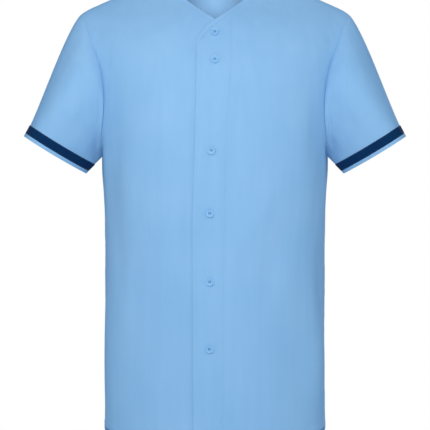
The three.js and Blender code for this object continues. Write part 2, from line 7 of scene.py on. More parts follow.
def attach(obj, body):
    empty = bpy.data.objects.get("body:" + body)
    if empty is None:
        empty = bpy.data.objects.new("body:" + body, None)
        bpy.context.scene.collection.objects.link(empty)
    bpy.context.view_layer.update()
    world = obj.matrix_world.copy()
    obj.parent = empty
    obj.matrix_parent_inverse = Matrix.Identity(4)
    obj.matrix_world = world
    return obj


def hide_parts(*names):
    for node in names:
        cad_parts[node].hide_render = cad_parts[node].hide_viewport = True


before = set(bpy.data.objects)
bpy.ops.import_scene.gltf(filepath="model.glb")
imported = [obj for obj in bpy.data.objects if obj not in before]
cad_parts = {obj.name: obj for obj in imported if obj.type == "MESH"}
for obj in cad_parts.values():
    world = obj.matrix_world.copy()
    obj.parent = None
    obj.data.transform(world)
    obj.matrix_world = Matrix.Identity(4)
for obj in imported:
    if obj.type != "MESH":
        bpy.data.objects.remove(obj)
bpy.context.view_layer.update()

# Back panel.
# One piece of smooth light blue polyester knit from the shirt-tail hem to the shoulder seams,
# cut on the fold and sewn to the fronts at the sides and shoulders and to the sleeves.

# The tables and lengths below are in millimetres, as a pattern is drafted, and become metres in a mesh
MM = 0.001
CLOTH = 1.2
SQUARENESS = 2.1
NECK_HALF = 84.0
NECK_TIP_Z = -72.6
NECK_MID = (48.0, -39.6)
BACK_NECK_DROP = 12.0
SHOULDER_SLOPE = 0.446
SHOULDER_ROUND = 0.0066
SHOULDER_ROUND_START = 200.0
RIDGE_DEPTH = {-1: 115.0, 1: 92.0}
UNDERARM_Z = -285.0
SIDE_HEM_Z = -741.0
FRONT_HEM_Z = -790.0
BACK_HEM_Z = -812.0
BACK_TAIL_CURVE = 2.6
CHEST_ROW_Z = -290.0
HALF_SEAM = 0.03
SIDE_ROWS = 12
ARM_ROWS = 14
ROWS = SIDE_ROWS + ARM_ROWS
HEM_TURN = 10.0
HEM_PROUD = 0.5
HEM_STEP = 1.2
HEM_STITCH_IN = 1.6
SIDE_FADE = 14.0
SHOULDER_FADE = 60.0
EDGE_PULL = 4
ARM_ROW_SPREAD = 1.4

# Worn form: height, half width, depth of the front and depth of the back from the middle
BODY = np.array([
    (0, 264, 40, 98), (-40, 260, 56, 103), (-73, 253, 80, 107), (-94, 246, 92, 111),
    (-117, 234, 104, 115), (-140, 221, 115, 120), (-180, 211, 127, 123), (-220, 206, 137, 124),
    (-250, 205, 141, 122), (-285, 204, 142, 119), (-320, 203, 140, 117), (-360, 197, 138, 115),
    (-400, 190.6, 136, 113), (-450, 183.5, 134, 112), (-500, 181.5, 133, 112),
    (-600, 180, 131, 114), (-700, 181, 130, 117), (-820, 182.5, 130, 119),
], float)
HALF, FRONT, BACK = 1, 2, 3

# Armhole seam, from the underarm to the shoulder: share of its length, height, degrees from the centre
ARMHOLE = np.array([
    (0, -285, 90), (0.08, -283, 82.5), (0.16, -276, 75.5), (0.24, -262, 70), (0.32, -242, 65.2),
    (0.42, -216, 61.8), (0.5, -195, 60.2), (0.6, -168, 59.2), (0.7, -142, 59.2), (0.8, -116, 57.8),
    (0.9, -90, 56.6), (1, -66, 58.2),
], float)
ARMPIT = {"share": 0.15, "degrees": 16.0, "above": 60.0, "below": 110.0}

# Soft folds: degrees from the centre, height, width in degrees, half height, depth out, lean per mm
BACK_FOLDS = (
    (-58, -370, 8, 80, -4, 0.04), (60, -390, 8, 75, -4.5, -0.03),
    (-24, -560, 10, 110, 3, 0.02), (20, -620, 9, 95, -2.5, -0.02),
    (-40, -250, 6, 60, -1.6, 0.06), (42, -235, 7, 55, -1.8, -0.07),
    (4, -330, 12, 60, -1.4, 0.0), (-70, -600, 6, 70, -1.8, 0.01), (66, -660, 7, 60, 1.6, 0.0),
)


def along(places, values, at):
    """A smooth curve through a table's values, whatever way its places run."""
    order = np.argsort(places)
    x, y = places[order], values[order]
    slope = np.gradient(y, x)
    at = np.clip(np.asarray(at, float), x[0], x[-1])
    k = np.clip(np.searchsorted(x, at) - 1, 0, len(x) - 2)
    step = x[k + 1] - x[k]
    t = (at - x[k]) / step
    start = (1 + 2 * t) * (1 - t) ** 2 * y[k] + t * (1 - t) ** 2 * step * slope[k]
    return start + t * t * (3 - 2 * t) * y[k + 1] + t * t * (t - 1) * step * slope[k + 1]


def smooth(t):
    """A soft step from 0 to 1."""
    held = np.clip(t, 0, 1)
    return held * held * (3 - 2 * held)


def bell(distance, width):
    """A soft bump, 1 in the middle and almost 0 at twice its width."""
    return np.exp(-((distance / width) ** 2))


def ridge_height(x):
    """Height of the shoulder line at a distance out from the middle."""
    out = np.abs(x)
    past = np.maximum(0, out - SHOULDER_ROUND_START)
    return -SHOULDER_SLOPE * (out - NECK_HALF) - SHOULDER_ROUND * past * past


def angle_of(x, z):
    """Degrees round the body of a point that is seen from the front at (x, z)."""
    share = np.minimum(np.abs(x) / along(BODY[:, 0], BODY[:, HALF], z), 1)
    rest = (1 - share ** SQUARENESS) ** (1 / SQUARENESS)
    return np.sign(x) * np.degrees(np.arctan2(share, rest))


def fold_depth(folds, angle, z):
    """How far the folds stand out, fading towards the side seams."""
    out = np.zeros_like(angle)
    for place, height, degrees, tall, depth, lean in folds:
        out += depth * bell(angle - place - lean * (height - z), degrees) * bell(z - height, tall)
    return out * smooth((90 - np.abs(angle)) / SIDE_FADE)


def body_point(angle, z, facing, folds, sink=0.0):
    """Points of the worn body: facing is -1 for the front and 1 for the back."""
    angle, z = np.broadcast_arrays(np.asarray(angle, float), np.asarray(z, float))
    turn = np.radians(angle)
    ahead = np.maximum(np.cos(turn), 0)
    reach = (np.abs(np.sin(turn)) ** SQUARENESS + ahead ** SQUARENESS) ** (-1 / SQUARENESS)
    fade = np.where(z > UNDERARM_Z, ARMPIT["above"], ARMPIT["below"])
    hollow = ARMPIT["share"] * bell(90 - np.abs(angle), ARMPIT["degrees"]) * bell(z - UNDERARM_Z, fade)
    x = along(BODY[:, 0], BODY[:, HALF], z) * reach * np.sin(turn) * (1 - hollow)
    below = np.maximum(ridge_height(x) - z, 0)
    rounding = np.sqrt(1 - (1 - np.minimum(below / RIDGE_DEPTH[facing], 1)) ** 2)
    column = FRONT if facing < 0 else BACK
    depth = along(BODY[:, 0], BODY[:, column], z) * reach * ahead * rounding
    out = (fold_depth(folds, angle, z) - sink) * smooth(below / SHOULDER_FADE)
    return np.stack([x + out * np.sin(turn), facing * (depth + out * ahead), z], -1)


def shoulder_point():
    """Where the armhole meets the shoulder line: (degrees, height)."""
    angle, z = ARMHOLE[-1, 2], ARMHOLE[-1, 1]
    for _ in range(30):
        z = float(ridge_height(body_point(angle, z, -1, ())[0]))
    return angle, z


SHOULDER = shoulder_point()


def outer_edge(row):
    """Side seam up to the underarm, then the armhole up to the shoulder: (degrees, height)."""
    if row <= SIDE_ROWS:
        return 90.0, SIDE_HEM_Z + (UNDERARM_Z - SIDE_HEM_Z) * row / SIDE_ROWS
    if row >= ROWS:
        return SHOULDER
    t = 1 - (1 - (row - SIDE_ROWS) / ARM_ROWS) ** ARM_ROW_SPREAD
    return tuple(float(along(ARMHOLE[:, 0], ARMHOLE[:, column], t)) for column in (2, 1))


def climb(row, low, top, last):
    """Height on a panel's upright edge, from the hem to the chest and on to its top at a last row."""
    if row <= SIDE_ROWS:
        return low + (CHEST_ROW_Z - low) * row / SIDE_ROWS
    return CHEST_ROW_Z + (top - CHEST_ROW_Z) * (row - SIDE_ROWS) / (last - SIDE_ROWS)


def panel(inner, bottom, top, rows, columns, place):
    """Blends four edges into one panel's grid of points, from the hem up and from the middle out."""
    start = np.array([inner(row) for row in rows])
    end = np.array([outer_edge(row) for row in rows])
    low = np.array([bottom(u) for u in columns])
    high = np.array([top(u) for u in columns])
    u, v = np.asarray(columns)[None, :, None], (np.asarray(rows) / ROWS)[:, None, None]
    across = (1 - u) * start[:, None] + u * end[:, None]
    low_gap = low[None] - (1 - u) * start[0] - u * end[0]
    high_gap = high[None] - (1 - u) * start[-1] - u * end[-1]
    value = across + (1 - v) ** EDGE_PULL * low_gap + v ** EDGE_PULL * high_gap
    return place(value[..., 0], value[..., 1])


def panel_rows(extra=()):
    """Places up a panel, close together at the hem, at the armhole and at the shoulder."""
    side_step = (UNDERARM_Z - SIDE_HEM_Z) / SIDE_ROWS
    hem = [distance / side_step for distance in (0, 1, 3, 6, 9.2, 10, 10.8, 14, 20, 28)]
    side = list(np.arange(1, SIDE_ROWS, 0.2))
    arm = list(np.arange(SIDE_ROWS, ROWS - 0.6, 0.2))
    shoulder = [ROWS - gap for gap in (0.6, 0.48, 0.38, 0.3, 0.22, 0.16, 0.11, 0.07, 0.04, 0.02, 0)]
    return np.unique(np.round(hem + side + arm + shoulder + list(extra), 5))


def edge_columns(count, width):
    """Places across a panel, close together beside its side seam and armhole."""
    near = [1 - gap / width for gap in (0, 0.8, 1.8, 3, 5, 8)]
    return np.unique(np.round(list(np.linspace(0, 1, count)) + near, 5))


def unit(arrows):
    """The same directions, each one unit long."""
    return arrows / (np.linalg.norm(arrows, axis=-1, keepdims=True) + 1e-12)


def from_body(grid):
    """Roughly the way out from the upright middle of the body."""
    return grid * (1, 2, 0)


def directions(grid, away):
    """Outward direction at each point of a grid."""
    normal = unit(np.cross(np.gradient(grid, axis=1), np.gradient(grid, axis=0)))
    return normal if (normal * away).sum() > 0 else -normal


def run_lengths(grid, axis):
    """Distance in mm from the first line of the grid, along rows or columns."""
    steps = np.linalg.norm(np.diff(grid, axis=axis), axis=-1)
    pad = [(0, 0), (0, 0)]
    pad[axis] = (1, 0)
    return np.cumsum(np.pad(steps, pad), axis=axis)


def wander(distance, seed, wavelength):
    """A gentle uneven ripple along a seam, between about -1 and 1."""
    rng = np.random.default_rng(seed)
    total = np.zeros_like(distance)
    for share in (1.0, 0.61, 0.37):
        phase = rng.uniform(0, 2 * math.pi)
        total += math.sqrt(share) * np.sin(2 * math.pi * distance / (wavelength * share) + phase)
    return total / 2


SEAM_WIDTH = 2.8
SEAM_REACH = 10.0
SEAM_DEPTH = 0.5
SEAM_PUCKER = 0.38
SEAM_WAVE = 34.0
HEM_WAVE = 46.0
HEM_WAVE_REACH = 16.0


def beside_seam(distance, run, seed, wavelength):
    """Height of the cloth beside a seam, which lies sunk and puckers along its run."""
    swell = np.exp(-distance / SEAM_REACH) * (1 - bell(distance, SEAM_WIDTH))
    return swell * (SEAM_DEPTH + SEAM_PUCKER * wander(run, seed, wavelength))


def turned_hem_step(up):
    """1 on the doubled cloth of a turned hem and 0 above it."""
    return smooth((HEM_TURN + HEM_STEP / 2 - up) / HEM_STEP)


def sewn_panel(form, edges, seed):
    """A panel's points, drawn back by the gap of a sewn seam at the named edges, with their relief."""
    normal = directions(form, from_body(form))
    grid = form.copy()
    lines = {"first": (np.s_[:, 0], np.s_[:, 1]), "last": (np.s_[:, -1], np.s_[:, -2]),
             "top": (np.s_[-1, :], np.s_[-2, :])}
    for edge in edges:
        line, within = lines[edge]
        inward = unit(np.cross(normal[line], np.gradient(form[line], axis=0)))
        side = np.sign((inward * (form[within] - form[line])).sum())
        grid[line] += side * inward * HALF_SEAM

    across, up = run_lengths(grid, 1), run_lengths(grid, 0)
    distance = {"first": across, "last": across[:, -1:] - across, "top": up[-1:] - up}
    relief = np.zeros(grid.shape[:2])
    for k, edge in enumerate(edges):
        run = across if edge == "top" else up
        relief += beside_seam(distance[edge], run, seed + k, SEAM_WAVE)
    # The turned hem stands out, is rounded at its fold, dips at its stitches and waves a little
    relief += HEM_PROUD * turned_hem_step(up) * (1 - 0.5 * bell(up, 0.8))
    relief -= 0.3 * bell(up - HEM_TURN + HEM_STITCH_IN, 1.0)
    relief += 0.3 * np.exp(-up / HEM_WAVE_REACH) * wander(across, seed + 9, HEM_WAVE)
    return grid + relief[..., None] * normal


def shape_cloth(name, grid, away, thickness, closed=False):
    """Makes a sheet of the grid's points with a UV map in metres, and gives it its thickness inwards.

    away points roughly outwards, and closed joins the sheet's two sides to a tube."""
    if (np.cross(np.gradient(grid, axis=1), np.gradient(grid, axis=0)) * away).sum() <= 0:
        grid = grid[:, ::-1]
    rows, columns = grid.shape[:2]
    bpy.ops.object.select_all(action="DESELECT")
    bpy.ops.mesh.primitive_grid_add(x_subdivisions=columns - 1, y_subdivisions=rows - 1, size=1)
    piece = bpy.context.object
    piece.name = piece.data.name = name
    mesh = piece.data
    mesh.vertices.foreach_set("co", (grid * MM).reshape(-1))
    centre_run = run_lengths(grid, 1)
    u = (centre_run - centre_run[:, columns // 2][:, None]) * MM
    v = run_lengths(grid, 0) * MM
    corner = np.zeros(len(mesh.loops), int)
    mesh.loops.foreach_get("vertex_index", corner)
    uv = np.stack([u.reshape(-1)[corner], v.reshape(-1)[corner]], -1)
    mesh.uv_layers.active.data.foreach_set("uv", uv.reshape(-1))
    mesh.uv_layers.active.name = "UVMap"
    if closed:
        bpy.ops.object.mode_set(mode="EDIT")
        bpy.ops.mesh.select_all(action="SELECT")
        bpy.ops.mesh.remove_doubles(threshold=0.00002)
        bpy.ops.object.mode_set(mode="OBJECT")
    bpy.ops.object.shade_smooth()
    solid = piece.modifiers.new("thickness", "SOLIDIFY")
    solid.thickness = thickness * MM
    solid.offset = -1
    solid.use_quality_normals = True
    bpy.ops.object.modifier_apply(modifier=solid.name)
    bpy.ops.object.shade_smooth_by_angle(angle=math.radians(50))
    return piece


STITCH_WIDE = 0.8
STITCH_HIGH = 0.6


def feed(tree, node, inputs):
    """Fills a node's inputs, each with a value or with a link from another node's output."""
    for socket, value in inputs.items():
        if isinstance(value, bpy.types.NodeSocket):
            tree.links.new(value, node.inputs[socket])
        else:
            node.inputs[socket].default_value = value


def add_node(tree, kind, inputs=None, **settings):
    """A new node of a kind, with its settings and its inputs filled."""
    node = tree.nodes.new("ShaderNode" + kind)
    for setting, value in settings.items():
        setattr(node, setting, value)
    feed(tree, node, inputs or {})
    return node


def new_material(name):
    material = bpy.data.materials.new(name)
    material.use_nodes = True
    return material, material.node_tree


def knit_cloth(name, colour, deep_dye_and_shade, roughness, sheen):
    """Fine interlock knit: rows of stitches on the cloth's own map, a soft sheen and faint painted streaks
    of sheen and shade in its colour.
    """
    material, tree = new_material(name)
    place = add_node(tree, "UVMap", uv_map="UVMap").outputs["UV"]
    body = add_node(tree, "TexCoord").outputs["Object"]

    # Broad shifts in the dye, faint upright streaks of painted sheen and shade that stand in for the light
    # on the hanging cloth, and the fine fleck of the yarn
    dye = add_node(tree, "TexNoise", {"Vector": body, "Scale": 9.0, "Detail": 3.0})
    streak_stretch = add_node(tree, "Mapping", {"Vector": body, "Scale": (1.0, 1.0, 0.07)})
    painted_sheen_streak = add_node(tree, "TexNoise", {"Vector": streak_stretch.outputs["Vector"], "Scale": 75.0, "Detail": 2.0})
    dye_and_painted_streaks = add_node(tree, "Math", {0: painted_sheen_streak.outputs["Fac"], 1: 0.6, 2: dye.outputs["Fac"]},
                        operation="MULTIPLY_ADD")
    fleck = add_node(tree, "TexNoise", {"Vector": place, "Scale": 900.0, "Detail": 2.0})
    flecked = add_node(tree, "Math", {0: fleck.outputs["Fac"], 1: 0.45, 2: dye_and_painted_streaks.outputs["Value"]},
                       operation="MULTIPLY_ADD")
    tone = add_node(tree, "MapRange", {"Value": flecked.outputs["Value"], "From Min": 0.7,
                                       "From Max": 1.35})
    # The deeper colour is the low end of both the dye's shifts and the painted shade of the streaks
    dye_and_painted_streak_colour = add_node(tree, "Mix", {"Factor": tone.outputs["Result"], "A": (*deep_dye_and_shade, 1),
                                  "B": (*colour, 1)}, data_type="RGBA")

    # Stitch columns and courses
    columns = add_node(tree, "TexWave", {"Vector": place, "Scale": 2 * math.pi / (20 * STITCH_WIDE * MM)},
                       bands_direction="X")
    courses = add_node(tree, "TexWave", {"Vector": place, "Scale": 2 * math.pi / (20 * STITCH_HIGH * MM),
                                         "Distortion": 0.6}, bands_direction="Y")
    weave = add_node(tree, "Math", {0: columns.outputs["Fac"], 1: courses.outputs["Fac"]},
                     operation="MULTIPLY")
    knit = add_node(tree, "Bump", {"Strength": 0.35, "Distance": 0.0002,
                                   "Height": weave.outputs["Value"]})

    # Slight unevenness of a washed cloth
    wash = add_node(tree, "TexNoise", {"Vector": body, "Scale": 26.0, "Detail": 2.0})
    relief = add_node(tree, "Bump", {"Strength": 0.25, "Distance": 0.002, "Height": wash.outputs["Fac"],
                                     "Normal": knit.outputs["Normal"]})
    feed(tree, tree.nodes["Principled BSDF"], {
        "Base Color": dye_and_painted_streak_colour.outputs["Result"], "Normal": relief.outputs["Normal"],
        "Roughness": roughness, "Sheen Weight": sheen, "Sheen Roughness": 0.5,
        "Sheen Tint": (0.35, 0.6, 1.0, 1), "Specular IOR Level": 0.15})
    return material


SKY = (0.334, 0.554, 0.797)
# The deeper blue serves the dye's shifts and the painted shade of the streaks
SKY_DEEP_AND_SHADE = (0.286, 0.508, 0.764)
sky_cloth = knit_cloth("sky_knit", SKY, SKY_DEEP_AND_SHADE, 0.78, 0.12)


def finish_piece(piece, node, material=sky_cloth, slot="jersey_cloth"):
    """Gives a piece its material, hides the solid that it stands in for and hangs it on the root."""
    piece.data.materials.append(material)
    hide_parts(node)
    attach(piece, "root")


def centre_back(row):
    return 0.0, climb(row, BACK_HEM_Z, -BACK_NECK_DROP, ROWS)


def back_hem(u):
    return 90.0 * u, BACK_HEM_Z + (SIDE_HEM_Z - BACK_HEM_Z) * u ** BACK_TAIL_CURVE


NECK_SHARE = 0.4
shoulder_x = float(body_point(*SHOULDER, -1, ())[0])


def on_front(x, z):
    """The place round the body, (degrees, height), of what is seen from the front at (x, z)."""
    return float(angle_of(np.float64(x), z)), float(z)


def back_top(u):
    if u >= 1:
        return SHOULDER
    if u < NECK_SHARE:
        x = NECK_HALF * math.sin(math.pi / 2 * u / NECK_SHARE)
        return on_front(x, -BACK_NECK_DROP * (1 - (x / NECK_HALF) ** 2))
    x = NECK_HALF + (shoulder_x - NECK_HALF) * (u - NECK_SHARE) / (1 - NECK_SHARE)
    return on_front(x, ridge_height(x))


def back_half(side):
    return panel(centre_back, back_hem, back_top, panel_rows(), edge_columns(64, width=320),
                 lambda angle, z: body_point(side * angle, z, 1, BACK_FOLDS))


left_half, right_half = back_half(1), back_half(-1)
back_form = np.concatenate([left_half[:, :0:-1], right_half], axis=1)
back_grid = sewn_panel(back_form, ("first", "last", "top"), 11)
back = shape_cloth("back_panel", back_grid, from_body(back_grid), CLOTH)
finish_piece(back, "back")


# Fronts.
# Two panels of the same knit. The wearer's left one carries the buttonholes and lies on top, and its
# edge is folded to a placket; the right one runs on beneath it. Both are cut to a V at the neck.

CORNER_ROW = 18
TIP_ROW = 20
FRONT_BREAKS = (CORNER_ROW - 1, CORNER_ROW, CORNER_ROW + 0.5, TIP_ROW - 1, TIP_ROW)
NECKLINE = np.array([(0, 0, NECK_TIP_Z), (0.52, *NECK_MID), (1, NECK_HALF, 0)], float)

# Placket: height, free edge and inner edge of the band, as seen from the front
PLACKET = np.array([
    (-95, -30.2, 27), (-140, -30.6, 26), (-287, -33.7, 17.5), (-391, -37, 16),
    (-535, -37, 14), (-820, -35.3, 12),
], float)
CORNER_LINE = {"row": (17, 18, 19, 20), "x": (-30.2, -30.2, -13, 0), "z": (-114, -104, -82, NECK_TIP_Z)}
UNDERLAP = 16.0
UNDERLAP_TOP_Z = -84.0
UNDERLAP_SINK = 2.2
UNDERLAP_RAMP = (-92.0, -46.0)

FRONT_FOLDS = (
    (-61, -340, 14, 85, -9.5, -0.05), (-69, -620, 15, 120, 8, 0), (67, -630, 14, 115, 7, 0),
    (-52, -560, 9, 70, 3, 0.02), (8, -300, 4, 110, -2.2, -0.03), (24, -390, 7, 55, 3, -0.12),
    (32, -480, 6, 60, -2.6, -0.08), (70, -520, 7, 60, -3.5, 0.02), (64, -640, 8, 55, 2.5, -0.03),
    (-44, -300, 8, 70, 1.6, -0.07), (-58, -460, 6, 60, -1.6, 0.03), (61, -290, 14, 85, -10, 0.02),
    (55, -330, 6, 60, 1.8, -0.06), (-30, -640, 8, 80, -1.2, 0.0), (46, -640, 7, 70, -1.4, 0.02),
    (44, -290, 8, 80, 2.4, 0.0),
    (-74, -230, 5, 50, -1.6, -0.04), (74, -240, 5, 45, -1.6, 0.04), (52, -90, 5, 40, -1.4, 0.05),
    (-50, -95, 6, 40, -1.0, -0.05), (14, -200, 4, 60, 1.2, -0.02),
)


def neckline_point(row):
    t = (row - TIP_ROW) / (ROWS - TIP_ROW)
    return on_front(*(along(NECKLINE[:, 0], NECKLINE[:, column], t) for column in (1, 2)))


def over_edge(row):
    """The left front's edge: up the placket, round its cut-off corner and along the neck."""
    if row >= TIP_ROW:
        return neckline_point(row)
    if row >= CORNER_ROW - 1:
        return on_front(*(np.interp(row, CORNER_LINE["row"], CORNER_LINE[way]) for way in ("x", "z")))
    z = climb(row, FRONT_HEM_Z, CORNER_LINE["z"][0], CORNER_ROW - 1)
    return on_front(along(PLACKET[:, 0], PLACKET[:, 1], z), z)


def under_edge(row):
    """The right front's edge, which runs on beneath the placket up to the tip of the neck."""
    if row >= TIP_ROW:
        return neckline_point(row)
    if row >= TIP_ROW - 1:
        share = row - TIP_ROW + 1
        return on_front(-UNDERLAP * (1 - share), UNDERLAP_TOP_Z + (NECK_TIP_Z - UNDERLAP_TOP_Z) * share)
    return on_front(-UNDERLAP, climb(row, FRONT_HEM_Z, UNDERLAP_TOP_Z, TIP_ROW - 1))


def front_hem_height(angle):
    return FRONT_HEM_Z + (SIDE_HEM_Z - FRONT_HEM_Z) * (1 - np.cos(np.pi * np.abs(angle) / 90)) / 2


def underlap_ramp(x):
    """How far the right front has come up from beneath the placket, from 0 to 1."""
    return smooth((x - UNDERLAP_RAMP[0]) / (UNDERLAP_RAMP[1] - UNDERLAP_RAMP[0]))


def front_form(side, inner, sink):
    """One front: its inner edge as given, sunk where it runs beneath the placket."""
    start = inner(0)[0]

    def hem(u):
        angle = start + (90 - start) * u
        return angle, float(front_hem_height(angle))

    def top(u):
        if u >= 1:
            return SHOULDER
        x = NECK_HALF + (shoulder_x - NECK_HALF) * u
        return on_front(x, ridge_height(x))

    def place(angle, z):
        x = body_point(side * angle, z, -1, ())[..., 0]
        return body_point(side * angle, z, -1, FRONT_FOLDS, sink * underlap_ramp(x))

    return panel(inner, hem, top, panel_rows(FRONT_BREAKS), edge_columns(72, width=300), place)


over_form = front_form(1, over_edge, 0.0)
under_form = front_form(-1, under_edge, UNDERLAP_SINK)
for name, node, form, seed in (("left_front_panel", "front_left", over_form, 21),
                               ("right_front_panel", "front_right", under_form, 31)):
    grid = sewn_panel(form, ("last", "top"), seed)
    finish_piece(shape_cloth(name, grid, from_body(grid), CLOTH), node)


# Placket band.
# A straight strip of the same knit, folded double and stitched down both sides on the edge of the
# left front, with a buttonhole under each button. It lies on the panel, a little proud of it.

BAND_THICK = 0.7
BAND_LIFT = 0.1
BAND_STITCH_IN = 4.2
BAND_CORNER_X = 28.5
BAND_WAVE = 60.0
BAND_TOP = {"x": (-30.2, -23.7, -6.5, 4.7, 30), "z": (-117, -109.4, -87.6, -79.6, -61.5)}


def on_over_front(x, z, lift=0.0):
    """A point of the left front that is seen at (x, z), moved out from the cloth, with its direction."""
    x, z = np.broadcast_arrays(np.asarray(x, float), np.asarray(z, float))
    step = 1.5

    def at(dx, dz):
        return body_point(angle_of(x + dx, z + dz), z + dz, -1, FRONT_FOLDS)

    normal = unit(np.cross(at(step, 0) - at(-step, 0), at(0, step) - at(0, -step)))
    normal *= -np.sign(normal[..., 1:2])
    return at(0, 0) + lift * normal, normal


band_u = np.unique(np.concatenate([np.linspace(0, 1, 22), (0.012, 0.03, 0.97, 0.988)]))
band_v = np.unique(np.concatenate([np.linspace(0, 1, 110), (0.002, 0.006, 0.0128, 0.0142, 0.0156)]))
top_x = CORNER_LINE["x"][0] + (BAND_CORNER_X - CORNER_LINE["x"][0]) * band_u
top_z = np.interp(top_x, BAND_TOP["x"], BAND_TOP["z"])
rough_z = FRONT_HEM_Z + (top_z[None] - FRONT_HEM_Z) * band_v[:, None]
band_x = (along(PLACKET[:, 0], PLACKET[:, 1], rough_z) * (1 - band_u)
          + along(PLACKET[:, 0], PLACKET[:, 2], rough_z) * band_u)
low_z = front_hem_height(angle_of(band_x[:1], np.full_like(band_x[:1], FRONT_HEM_Z)))
band_z = low_z + (top_z[None] - low_z) * band_v[:, None]
band_form, band_normal = on_over_front(band_x, band_z, BAND_LIFT + BAND_THICK)
from_free = run_lengths(band_form, 1)
to_inner = from_free[:, -1:] - from_free
from_hem = run_lengths(band_form, 0)
# The band is rounded at its free edge, eased into the cloth at the inner one and drawn in by stitches
band_relief = -0.35 * bell(from_free, 0.7) - 0.12 * bell(to_inner, 1.2) - 0.3 * smooth(1 - to_inner / 4)
band_relief -= 0.16 * bell(from_free - BAND_STITCH_IN, 0.9)
band_relief += HEM_PROUD * turned_hem_step(from_hem)
band_relief += 0.16 * wander(from_hem, 5, BAND_WAVE) * (bell(from_free, 6) + bell(to_inner, 6))
band_outer = band_form + band_relief[..., None] * band_normal
placket = shape_cloth("placket_fold", band_outer, from_body(band_outer), BAND_THICK)
finish_piece(placket, "placket_band")


# Neck edge.
# The cloth is turned over all round the V and the back of the neck, and stitched down 7 mm in.

EDGE_THICK = 0.7
EDGE_LIFT = 0.12
EDGE_WIDTH = 8.0
EDGE_ACROSS = np.array([0, 0.25, 0.6, 1.1, 1.8, 3, 4.4, 5.6, 6.4, 6.9, 7.4, 7.8, EDGE_WIDTH])
EDGE_FLAT = 5.0
EDGE_STITCH = 6.6
CORNER_SHARE = 0.62
SHOULDER_RUN_OUT = 16.0
EDGE_WAVE = 26.0


def edge_strip(name, x, z, proud, facing, sink, folds, seed, ends):
    """A turned edge along the flat line (x, z), standing proud as told from point to point.

    ends tells where it runs out along the shoulder."""
    tangent = unit(np.stack([np.gradient(x), np.gradient(z)], -1))
    away = np.stack([tangent[:, 1], -tangent[:, 0]], -1)
    away *= np.where(away[:, 1:2] > 0, -1, 1)
    for end in ends:
        sign = np.sign(x[end])
        shoulder = np.array([sign, -SHOULDER_SLOPE]) / math.hypot(1, SHOULDER_SLOPE)
        distance = np.hypot(x - x[end], z - z[end])
        share = smooth(1 - distance / SHOULDER_RUN_OUT)[:, None]
        away = away * (1 - share) + shoulder * share
    away = unit(away)

    def at(reach):
        px, pz = x[:, None] + away[:, :1] * reach, z[:, None] + away[:, 1:] * reach
        pz = np.minimum(pz, ridge_height(px))
        return body_point(angle_of(px, pz), pz, facing, folds, sink * underlap_ramp(px))

    sample = EDGE_WIDTH / 2
    stretch = np.linalg.norm(at(np.array([[sample]])) - at(np.array([[0.0]])), axis=-1) / sample
    form = at(EDGE_ACROSS[None] / np.maximum(stretch, 1))
    upwards = (0, 0, 60)
    normal = directions(form, from_body(form) + upwards)
    # Rounded at the fold, drawn in by its stitches and eased into the cloth at its inner edge
    d = EDGE_ACROSS[None]
    relief = EDGE_LIFT + EDGE_THICK - 0.45 * bell(d, 0.6) - 0.12 * bell(d - EDGE_STITCH, 0.8)
    relief = relief - 0.15 * bell(EDGE_WIDTH - d, 0.6)
    relief = relief - 0.3 * smooth((d - EDGE_FLAT) / (EDGE_WIDTH - EDGE_FLAT))
    relief = (relief + 0.14 * wander(run_lengths(form, 0), seed, EDGE_WAVE)) * proud[:, None]
    grid = form + relief[..., None] * normal
    return shape_cloth(name, grid, from_body(grid) + upwards, EDGE_THICK), form, normal


neck_t = np.linspace(0, 1, 64)
neck_x, neck_z = (along(NECKLINE[:, 0], NECKLINE[:, column], neck_t) for column in (1, 2))
corner_t = np.linspace(0, 1, 22)[:-1]
corner_at = (0, CORNER_SHARE, 1)
corner_x, corner_z = (np.interp(corner_t, corner_at, CORNER_LINE[way][1:]) for way in ("x", "z"))
back_x = NECK_HALF * np.sin(np.linspace(-math.pi / 2, math.pi / 2, 90))
back_z = -BACK_NECK_DROP * (1 - (back_x / NECK_HALF) ** 2)
flat_at_corner = 1 - 0.5 * smooth(1 - corner_t)
neck_edges = []
for name, node, x, z, proud, facing, sink, folds, seed, ends in (
    ("neck_fold_left", "neck_edge_left", np.concatenate([corner_x, neck_x]),
     np.concatenate([corner_z, neck_z]), np.concatenate([flat_at_corner, np.ones(len(neck_t))]),
     -1, 0.0, FRONT_FOLDS, 41, (-1,)),
    ("neck_fold_right", "neck_edge_right", -neck_x, neck_z, np.ones(len(neck_t)),
     -1, UNDERLAP_SINK, FRONT_FOLDS, 42, (-1,)),
    ("neck_fold_back", "neck_edge_back", back_x, back_z, np.ones(len(back_x)),
     1, 0.0, BACK_FOLDS, 43, (0, -1)),
):
    piece, form, normal = edge_strip(name, x, z, proud, facing, sink, folds, seed, ends)
    neck_edges.append((form, normal))
    finish_piece(piece, node)


# Sleeves.
# Short set-in sleeves of the same knit, eased into the armhole so that they stand out in a soft
# round, and hanging a little open at the cuff.

SLEEVE_HEM_AT = (263.8, -295.2)
SLEEVE_HALF_WIDTH = 59.0
SLEEVE_HALF_DEPTH = 63.0
SLEEVE_FLATTENING = 0.42
SLEEVE_EDGE = 0.6
SLEEVE_ANGLE = math.radians(30.9)
SLEEVE_BAND = 15.0
SLEEVE_HEM = 6.0
SLEEVE_TAPER = 3.1
SLEEVE_DIP = 1.6
CUFF_ANGLE = math.radians(36.3)
CUFF_NARROWING = 0.2
SLEEVE_FULLNESS = 100.0
SLEEVE_TOP_FULLNESS = 31.0
FULLEST_TURN = math.radians(75)
CUFF = SLEEVE_BAND + SLEEVE_HEM
LEAVE_SHARE = 0.45
ARRIVE_SHARE = 0.9
FOLDS_FULL_AT = 0.2
FOLDS_FADE_FROM = 0.8
FOLDS_FADE = 0.75
SLEEVE_SEAM_WAVE = 30.0

